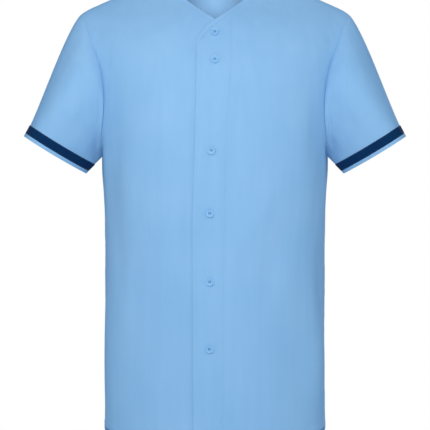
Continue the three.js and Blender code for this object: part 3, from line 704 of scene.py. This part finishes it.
# Sleeve folds: turn round from the top, share of the length, width in degrees, half length, depth
# out and lean in degrees over the length. The front of the sleeve has the negative turns.
SLEEVE_FOLDS = (
    (-128, 0.42, 34, 0.42, -8.0, 0),
    (-58, 0.55, 15, 0.5, 3.0, 10), (-96, 0.5, 13, 0.45, -3.0, 16), (-128, 0.62, 12, 0.4, 1.8, 12),
    (-24, 0.35, 12, 0.35, -1.6, 0), (62, 0.55, 16, 0.5, 2.6, -10), (104, 0.5, 14, 0.45, -2.8, -14),
    (28, 0.4, 12, 0.35, -1.4, 0), (-160, 0.7, 12, 0.35, -1.6, 0), (158, 0.7, 12, 0.35, -1.5, 0),
)
arm_rows = panel_rows(FRONT_BREAKS)
arm_rows = arm_rows[arm_rows >= SIDE_ROWS]


def armhole_line(side, facing):
    """The panel's own armhole edge, from the underarm up to the shoulder."""
    place = np.array([outer_edge(row) for row in arm_rows])
    folds = FRONT_FOLDS if facing < 0 else BACK_FOLDS
    return body_point(side * place[:, 0], place[:, 1], facing, folds)


def line_run(line):
    """Distance in mm along a line of points."""
    return run_lengths(line[None], 1)[0]


def hermite(start, leave, end, arrive, t):
    """A point of the curve that leaves one place and arrives at another with these velocities."""
    return (start * (1 + 2 * t) * (1 - t) ** 2 + leave * t * (1 - t) ** 2
            + end * t * t * (3 - 2 * t) + arrive * t * t * (t - 1))


def sleeve_form(side, hem):
    """Rows from the armhole down, columns from the underarm by the front, the top and the back."""
    front, rear = armhole_line(side, -1), armhole_line(side, 1)
    loop = np.concatenate([front, rear[-2::-1]])
    run = line_run(loop)
    top = run[len(front) - 1]
    turn = np.where(run <= top, -np.pi * (1 - run / top), np.pi * (run - top) / (run[-1] - top))
    across = np.array([side * math.cos(SLEEVE_ANGLE), 0, math.sin(SLEEVE_ANGLE)])
    down = np.array([side * math.sin(CUFF_ANGLE), 0, -math.cos(CUFF_ANGLE)])
    ring = np.cos(turn)[:, None] * SLEEVE_HALF_WIDTH * across
    edge = 1 - (1 - SLEEVE_EDGE) * smooth(np.cos(turn))
    ring[:, 1] = np.sign(turn) * SLEEVE_HALF_DEPTH * np.abs(np.sin(turn)) ** edge
    ring[:, 1] *= 1 + SLEEVE_FLATTENING * np.cos(turn)
    outward = unit(ring)
    cuff_top = hem + ring - CUFF * down + SLEEVE_TAPER * outward
    cuff_top += SLEEVE_DIP * np.sin(turn)[:, None] ** 2 * down
    length = np.linalg.norm(cuff_top - loop, axis=-1, keepdims=True)
    bulge = (SLEEVE_FULLNESS * np.maximum(0, np.cos(np.abs(turn) - FULLEST_TURN)) ** 2
             + SLEEVE_TOP_FULLNESS * np.maximum(0, np.cos(turn)) ** 3)
    leave = (cuff_top - loop) * LEAVE_SHARE + bulge[:, None] * outward
    arrive = (down - CUFF_NARROWING * outward) * length * ARRIVE_SHARE
    near = (0, 0.005, 0.011, 0.019, 0.03, 0.045)
    shares = np.unique(np.round(np.concatenate([np.linspace(0, 1, 46), near]), 5))
    rows = [hermite(loop, leave, cuff_top, arrive, t) for t in shares]
    reaches = np.array([1.2, 3, 6, 9, 12, 13.8, 15, 16.2, 18, 19.8, 20.6, CUFF])
    for reach in reaches:
        rows.append(cuff_top + reach * down - SLEEVE_TAPER * reach / CUFF * outward)
    grid = np.array(rows)
    share = np.concatenate([shares, np.ones(len(reaches))])[:, None]
    degrees = np.degrees(turn)[None]
    fade = 1 - FOLDS_FADE * smooth((share - FOLDS_FADE_FROM) / (1 - FOLDS_FADE_FROM))
    fade *= smooth(share / FOLDS_FULL_AT)
    relief = np.zeros(grid.shape[:2])
    for place, middle, width, tall, out, lean in SLEEVE_FOLDS:
        relief += out * bell(degrees - place - lean * (share - middle), width) * bell(share - middle, tall)
    return grid, relief * fade


def tube_directions(grid, centre):
    """Outward direction at each point of a tube, whose last column lies on its first."""
    wrapped = np.concatenate([grid[:, -2:-1], grid, grid[:, 1:2]], axis=1)
    across = np.gradient(wrapped, axis=1)[:, 1:-1]
    normal = unit(np.cross(across, np.gradient(grid, axis=0)))
    return normal if (normal * (grid - centre)).sum() > 0 else -normal


sleeves = {}
for side, word in ((1, "left"), (-1, "right")):
    hem = np.array([side * SLEEVE_HEM_AT[0], 0, SLEEVE_HEM_AT[1]])
    form, folds = sleeve_form(side, hem)
    form = form + folds[..., None] * tube_directions(form, hem)
    normal = tube_directions(form, hem)
    relief = beside_seam(run_lengths(form, 0), run_lengths(form, 1), 50 + side, SLEEVE_SEAM_WAVE)
    grid = form + relief[..., None] * normal
    seam = unit(np.cross(normal[0], np.gradient(form[0], axis=0)))
    grid[0] += np.sign((seam * (form[2] - form[0])).sum()) * HALF_SEAM * seam
    grid[0, -1] = grid[0, 0]
    sleeves[word] = (side, hem, form, normal)
    cloth = shape_cloth(f"sleeve_{word}_panel", grid, grid - hem, CLOTH, closed=True)
    finish_piece(cloth, f"sleeve_{word}")


# Sleeve bands and hems.
# A navy knit strip 15 mm wide is stitched flat round each sleeve, and below it the sleeve is
# turned up 6 mm. Both stand a little proud of the sleeve.

NAVY = (0.0004, 0.0330, 0.105)
# The deeper navy serves the dye's shifts and the painted shade of the streaks
NAVY_DEEP_AND_SHADE = (0.0004, 0.0240, 0.086)
navy_cloth = knit_cloth("navy_knit", NAVY, NAVY_DEEP_AND_SHADE, 0.9, 0.02)
RING_LIFT = 0.15
RING_THICK = 0.8
RING_GAP = 0.3
RING_WAVE = 40.0


def point_at(run, line, distance):
    """The places on a line of points at a distance, or at several, along it."""
    return np.stack([np.interp(distance, run, line[:, k]) for k in range(3)], -1)


def ring_on_sleeve(form, normal, first, last, seed):
    """A strip round the sleeve between two distances up from its hem, proud of the cloth."""
    up = run_lengths(form[::-1], 0)
    reach = np.unique(np.concatenate([np.linspace(first, last, 9), (first + 0.5, last - 0.5)]))[::-1]
    place, out = (np.stack([point_at(up[:, c], values[::-1, c], reach) for c in range(form.shape[1])], 1)
                  for values in (form, normal))
    edge = np.minimum(reach - first, last - reach)[:, None]
    relief = RING_LIFT + RING_THICK - 0.3 * bell(edge, 0.5)
    relief = relief + 0.15 * wander(run_lengths(place, 1), seed, RING_WAVE)
    relief[:, -1] = relief[:, 0]
    return place + relief[..., None] * out


for word, (side, centre, form, normal) in sleeves.items():
    for name, node, cloth, slot, first, last in (
        (f"contrast_strip_{word}", f"sleeve_band_{word}", navy_cloth, "contrast_cloth", SLEEVE_HEM, CUFF),
        (f"turned_hem_{word}", f"sleeve_hem_{word}", sky_cloth, "jersey_cloth", 0.0, SLEEVE_HEM - RING_GAP),
    ):
        grid = ring_on_sleeve(form, normal, first, last, 60 + side)
        ring = shape_cloth(name, grid, grid - centre, RING_THICK, closed=True)
        finish_piece(ring, node, cloth, slot)


# Topstitching.
# Lockstitch in matching thread, about 3 mm a stitch, along the hem, the placket, the neck edge and
# both sides of each sleeve strip. Each stitch is a small rounded bar pressed into the cloth.

THREAD_THICK = 0.42
STITCH = 2.3
STITCH_GAP = 0.75
HEM_THREAD_LIFT = 0.32
BAND_THREAD_LIFT = 0.02
EDGE_THREAD_SINK = 0.1
BAND_INNER_STITCH_IN = 1.6
STRIP_STITCH_IN = 1.3
CUFF_STITCH_UP = 1.6


def one_stitch():
    """A low rounded bar, one unit long, as points and faces."""
    bpy.ops.object.select_all(action="DESELECT")
    bpy.ops.mesh.primitive_uv_sphere_add(segments=6, ring_count=5, radius=0.5)
    bar = bpy.context.object
    points = np.array([corner.co[:] for corner in bar.data.vertices])
    faces = [tuple(face.vertices) for face in bar.data.polygons]
    bpy.data.objects.remove(bar)
    return points[:, [2, 0, 1]], faces


BAR_POINTS, BAR_FACES = one_stitch()


def thread_finish(name, colour):
    """Twisted polyester thread: fine slanting plies and a slight shine."""
    material, tree = new_material(name)
    place = add_node(tree, "TexCoord").outputs["Object"]
    plies = add_node(tree, "TexWave", {"Vector": place, "Scale": 700.0}, bands_direction="DIAGONAL")
    dark = [0.85 * value for value in colour]
    tone = add_node(tree, "Mix", {"Factor": plies.outputs["Fac"], "A": (*dark, 1), "B": (*colour, 1)},
                    data_type="RGBA")
    bump = add_node(tree, "Bump", {"Strength": 0.4, "Distance": 0.0001, "Height": plies.outputs["Fac"]})
    feed(tree, tree.nodes["Principled BSDF"], {
        "Base Color": tone.outputs["Result"], "Normal": bump.outputs["Normal"],
        "Roughness": 0.55, "Sheen Weight": 0.15})
    return material


sky_thread = thread_finish("sky_thread", (0.41, 0.63, 0.89))
navy_thread = thread_finish("navy_thread", (0.006, 0.036, 0.105))


def stitches_along(line, normal):
    """Points of each stitch along a line of points that lie on the cloth."""
    run = line_run(line)
    count = int(run[-1] // (STITCH + STITCH_GAP))
    stitches = []
    for middle in (np.arange(count) + 0.5) * run[-1] / count:
        start, end = point_at(run, line, middle - STITCH / 2), point_at(run, line, middle + STITCH / 2)
        lengthways = unit(end - start)
        sideways = unit(np.cross(point_at(run, normal, middle), lengthways))
        out = np.cross(lengthways, sideways)
        stitches.append((start + end) / 2 + BAR_POINTS[:, :1] * STITCH * lengthways
                        + THREAD_THICK * (BAR_POINTS[:, 1:2] * sideways + BAR_POINTS[:, 2:] * out))
    return stitches


def put_in_scene(name, data):
    """A new object of the given mesh, lamp or camera."""
    thing = bpy.data.objects.new(name, data)
    bpy.context.scene.collection.objects.link(thing)
    return thing


def sew(name, lines, material=sky_thread):
    """One piece holding the stitches of several lines."""
    stitches = [stitch for line, normal in lines for stitch in stitches_along(line, normal)]
    faces = [tuple(k + n * len(BAR_POINTS) for k in face) for n in range(len(stitches))
             for face in BAR_FACES]
    mesh = bpy.data.meshes.new(name)
    mesh.from_pydata(np.concatenate(stitches) * MM, [], faces)
    mesh.shade_smooth()
    mesh.materials.append(material)
    thread = put_in_scene(name, mesh)
    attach(thread, "root")


def row_at(grid, normal, distance, lift):
    """The line across a sheet at a distance up from its first row, lifted off it, and its directions."""
    up = run_lengths(grid, 0)
    line, out = (np.array([point_at(up[:, c], values[:, c], distance) for c in range(grid.shape[1])])
                 for values in (grid, normal))
    return line + lift * out, out


def column_at(grid, normal, distance, lift):
    """The same up a sheet, at a distance in from its first column."""
    return row_at(grid.swapaxes(0, 1), normal.swapaxes(0, 1), distance, lift)


sew("hem_stitching",
    [row_at(form, directions(form, from_body(form)), HEM_TURN - HEM_STITCH_IN, HEM_THREAD_LIFT)
     for form in (over_form, under_form, back_form)])
sew("placket_stitching",
    [column_at(band_outer, band_normal, BAND_STITCH_IN, BAND_THREAD_LIFT),
     column_at(band_outer[:, ::-1], band_normal[:, ::-1], BAND_INNER_STITCH_IN, BAND_THREAD_LIFT)])
sew("neck_stitching",
    [column_at(form, normal, EDGE_STITCH, EDGE_LIFT + EDGE_THICK - EDGE_THREAD_SINK)
     for form, normal in neck_edges])
for word, (_, _, form, normal) in sleeves.items():
    strip_low, strip_high, cuff_line = (
        row_at(form[::-1], normal[::-1], height, RING_LIFT + RING_THICK)
        for height in (SLEEVE_HEM + STRIP_STITCH_IN, CUFF - STRIP_STITCH_IN, CUFF_STITCH_UP))
    sew(f"strip_stitching_{word}", [strip_high, strip_low], navy_thread)
    sew(f"sleeve_hem_stitching_{word}", [cuff_line])


# Buttons.
# Six four-hole buttons moulded in blue to match, 14 mm across, with a raised rim and a dished
# middle, sewn on with thread through the holes, over a buttonhole stitched in the band.

BUTTON_RADIUS = 7.0
BUTTON_HEIGHT = 2.4
BUTTON_RIM = 1.5
BUTTON_SLOPE = 0.7
BUTTON_DISH = 0.85
BUTTON_BACK_INSET = 1.2
BUTTON_SOFTENING = 0.35
HOLE_RADIUS = 0.85
HOLE_PITCH = 2.6
THREAD_SPREAD = 0.32
THREAD_RISE = 0.05
THREAD_SHAPE = (0.62, HOLE_PITCH + 1.0, 0.75)
BUTTONHOLE_LENGTH = 17.0
BUTTONHOLE_HALF_WIDTH = 1.3
BUTTONHOLE_CORD = 0.42
BUTTONHOLE_END = 1.7
BUTTON_GAP = 0.3
BUTTON_PLACES = (
    (-0.5, -94.5), (-0.5, -139.6), (-6.1, -288.3), (-8.6, -391.4), (-8.6, -503.4), (-9.1, -613.6),
)


def button_finish():
    """Cast polyester: soft cloudy blue with a satin coat and a few fine scuffs."""
    material, tree = new_material("button_cast")
    place = add_node(tree, "TexCoord").outputs["Object"]
    cloud = add_node(tree, "TexNoise", {"Vector": place, "Scale": 260.0, "Detail": 3.0})
    colour = add_node(tree, "Mix", {"Factor": cloud.outputs["Fac"], "A": (0.240, 0.485, 0.765, 1),
                                    "B": (0.320, 0.580, 0.860, 1)}, data_type="RGBA")
    scuff = add_node(tree, "TexNoise", {"Vector": place, "Scale": 1500.0})
    rough = add_node(tree, "MapRange", {"Value": scuff.outputs["Fac"], "To Min": 0.3, "To Max": 0.5})
    bump = add_node(tree, "Bump", {"Strength": 0.1, "Distance": 0.0001, "Height": scuff.outputs["Fac"]})
    feed(tree, tree.nodes["Principled BSDF"], {
        "Base Color": colour.outputs["Result"], "Roughness": rough.outputs["Result"],
        "Normal": bump.outputs["Normal"], "Coat Weight": 0.15, "Coat Roughness": 0.25,
        "Subsurface Weight": 0.05})
    return material


def select_faces(piece, wanted):
    """Selects the faces that `wanted` is true for, and goes into edit mode on faces."""
    bpy.ops.object.mode_set(mode="EDIT")
    bpy.ops.mesh.select_mode(type="FACE")
    bpy.ops.mesh.select_all(action="DESELECT")
    bpy.ops.object.mode_set(mode="OBJECT")
    for face in piece.data.polygons:
        face.select = wanted(face)
    bpy.ops.object.mode_set(mode="EDIT")


def joined(parts):
    """One piece of several, with its place and scale in its mesh."""
    bpy.ops.object.select_all(action="DESELECT")
    for part in parts:
        part.select_set(True)
    bpy.context.view_layer.objects.active = parts[0]
    bpy.ops.object.join()
    bpy.ops.object.transform_apply(location=True, rotation=True, scale=True)
    return bpy.context.object


def model_button():
    """A button lying flat, its face up and its back at height 0."""
    bpy.ops.object.select_all(action="DESELECT")
    bpy.ops.mesh.primitive_cylinder_add(vertices=48, radius=BUTTON_RADIUS * MM, depth=BUTTON_HEIGHT * MM,
                                        location=(0, 0, BUTTON_HEIGHT * MM / 2))
    button = bpy.context.object
    bpy.ops.object.transform_apply(location=True, rotation=True, scale=True)
    select_faces(button, lambda face: face.normal.z > 0.9)
    bpy.ops.mesh.inset(thickness=BUTTON_RIM * MM)
    bpy.ops.mesh.inset(thickness=BUTTON_SLOPE * MM, depth=-BUTTON_DISH * MM)
    bpy.ops.object.mode_set(mode="OBJECT")
    select_faces(button, lambda face: face.normal.z < -0.9)
    bpy.ops.mesh.inset(thickness=BUTTON_BACK_INSET * MM)
    bpy.ops.object.mode_set(mode="OBJECT")
    soften = button.modifiers.new("soft edges", "BEVEL")
    soften.width = BUTTON_SOFTENING * MM
    soften.segments = 3
    soften.angle_limit = math.radians(28)
    bpy.ops.object.modifier_apply(modifier=soften.name)
    drills = []
    for dx, dy in ((1, 1), (1, -1), (-1, 1), (-1, -1)):
        bpy.ops.mesh.primitive_cylinder_add(
            vertices=16, radius=HOLE_RADIUS * MM, depth=3 * BUTTON_HEIGHT * MM,
            location=(dx * HOLE_PITCH * MM / 2, dy * HOLE_PITCH * MM / 2, BUTTON_HEIGHT * MM / 2))
        drills.append(bpy.context.object)
    drill = joined(drills)
    cut = button.modifiers.new("holes", "BOOLEAN")
    cut.object = drill
    cut.solver = "EXACT"
    bpy.context.view_layer.objects.active = button
    bpy.ops.object.modifier_apply(modifier=cut.name)
    bpy.data.objects.remove(drill)
    return button


def model_button_thread():
    """Two bars of thread across the holes of a button."""
    bars = []
    for dx in (-1, 1):
        for offset in (-THREAD_SPREAD, THREAD_SPREAD):
            bpy.ops.mesh.primitive_uv_sphere_add(
                segments=10, ring_count=8, radius=0.5 * MM,
                location=((dx * HOLE_PITCH / 2 + offset) * MM, 0,
                          (BUTTON_HEIGHT - BUTTON_DISH + THREAD_RISE) * MM))
            bpy.context.object.scale = THREAD_SHAPE
            bars.append(bpy.context.object)
    thread = joined(bars)
    bpy.ops.object.shade_smooth()
    return thread


def model_buttonhole():
    """A close row of stitches round a slot, standing upright."""
    bpy.ops.object.select_all(action="DESELECT")
    bpy.ops.mesh.primitive_torus_add(major_segments=56, minor_segments=8,
                                     major_radius=BUTTONHOLE_HALF_WIDTH * MM,
                                     minor_radius=BUTTONHOLE_CORD * MM)
    ring = bpy.context.object
    stretch = (BUTTONHOLE_LENGTH / 2 - BUTTONHOLE_END) * MM
    for corner in ring.data.vertices:
        corner.co.y += math.copysign(stretch, corner.co.y) if abs(corner.co.y) > 1e-7 else 0.0
    bpy.ops.object.shade_smooth()
    return ring


def set_on_band(model, name, x, z, lift):
    """A copy of a flat model, turned square to the band at (x, z), with its place in its mesh."""
    copy = put_in_scene(name, model.data.copy())
    copy.data.name = name
    point, out = on_over_front(x, z, BAND_LIFT + BAND_THICK + lift)
    outward = Vector(out)
    upright = (Vector((0, 0, 1)) - outward * outward.z).normalized()
    turned = Matrix((upright.cross(outward), upright, outward)).transposed()
    copy.data.transform(Matrix.Translation(point * MM) @ turned.to_4x4())
    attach(copy, "root")
    return copy


button_model, thread_model, hole_model = model_button(), model_button_thread(), model_buttonhole()
button_model.data.materials.append(button_finish())
thread_model.data.materials.append(thread_finish("button_thread", (0.110, 0.260, 0.480)))
hole_model.data.materials.append(sky_thread)
for number, (x, z) in enumerate(BUTTON_PLACES, 1):
    disc = set_on_band(button_model, f"button_disc_{number}", x, z, BUTTON_GAP)
    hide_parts(f"button_{number}")
    set_on_band(thread_model, f"button_thread_{number}", x, z, BUTTON_GAP)
    set_on_band(hole_model, f"buttonhole_{number}", x, z, 0.0)
for model in (button_model, thread_model, hole_model):
    bpy.data.objects.remove(model)


# Floor, light and camera.
# A plain pale floor far below, a broad soft light in front, bluer ones at the sides and low down, and
# a weak fill all round. A small lamp lights the inside of the back neck. The lens is a long one.

MM_PER_PIXEL = 1.65
FRAME_PIXELS = 430
ORIGIN_ABOVE_FRAME = 24
CENTRE_Z = -(FRAME_PIXELS / 2 + ORIGIN_ABOVE_FRAME) * MM_PER_PIXEL * MM
CAMERA_DISTANCE = 14.0
SENSOR = 36
FLOOR_Z = -1.5

bpy.ops.object.select_all(action="DESELECT")
bpy.ops.mesh.primitive_plane_add(size=12, location=(0, 0, FLOOR_Z))
floor = bpy.context.object
floor.name = "floor"
pale, tree = new_material("pale_floor")
feed(tree, tree.nodes["Principled BSDF"], {"Base Color": (0.90, 0.88, 0.86, 1), "Roughness": 0.9})
floor.data.materials.append(pale)

world = bpy.data.worlds.new("studio")
bpy.context.scene.world = world
world.use_nodes = True
tree = world.node_tree
seen = tree.nodes["Background"]
feed(tree, seen, {"Color": (1, 1, 1, 1), "Strength": 1.0})
fill = add_node(tree, "Background", {"Color": (0.60, 0.82, 1.0, 1), "Strength": 0.41})
path = add_node(tree, "LightPath")
which = add_node(tree, "MixShader", {0: path.outputs["Is Camera Ray"], 1: fill.outputs["Background"],
                                     2: seen.outputs["Background"]})
feed(tree, tree.nodes["World Output"], {"Surface": which.outputs["Shader"]})


def add_lamp(name, kind, place, aim, power, colour, **settings):
    """A lamp that is aimed at a point."""
    light = bpy.data.lights.new(name, kind)
    light.energy = power
    light.color = colour
    for setting, value in settings.items():
        setattr(light, setting, value)
    lamp = put_in_scene(name, light)
    lamp.location = place
    lamp.rotation_euler = (Vector(aim) - Vector(place)).to_track_quat("-Z", "Y").to_euler()


SIDE_BLUE = (0.62, 0.84, 1.0)
LOW_BLUE = (0.40, 0.72, 1.0)
for name, place, aim, size, power, colour in (
    ("front_box", (-0.1, -1.6, 0.3), (0, 0, -0.06), 1.1, 16.4, (1, 1, 1)),
    ("left_box", (-2.0, -0.9, 0.3), (-0.2, 0, -0.2), 1.0, 5.4, SIDE_BLUE),
    ("right_box", (2.0, -0.9, 0.3), (0.2, 0, -0.2), 1.0, 5.4, SIDE_BLUE),
    ("back_box", (0.6, 2.6, 0.4), (0, 0, -0.4), 1.8, 32, (1, 1, 1)),
    ("low_box", (0, -1.4, -1.25), (0, 0, -0.85), 0.9, 2.6, LOW_BLUE),
):
    add_lamp(name, "AREA", place, aim, power, colour, shape="SQUARE", size=size)
add_lamp("neck_lamp", "SPOT", (0, -1.4, 0.25), (0, 0.07, -0.012), 56, (0.88, 0.96, 1.0),
         spot_size=math.radians(4.6), spot_blend=1.0, shadow_soft_size=0.02)

camera = put_in_scene("camera", bpy.data.cameras.new("camera"))
camera.location = (0, -CAMERA_DISTANCE, CENTRE_Z)
camera.rotation_euler = (math.pi / 2, 0, 0)
camera.data.sensor_width = SENSOR
camera.data.lens = SENSOR * CAMERA_DISTANCE / (FRAME_PIXELS * MM_PER_PIXEL * MM)
bpy.context.scene.camera = camera
bpy.context.scene.view_settings.view_transform = "Standard"
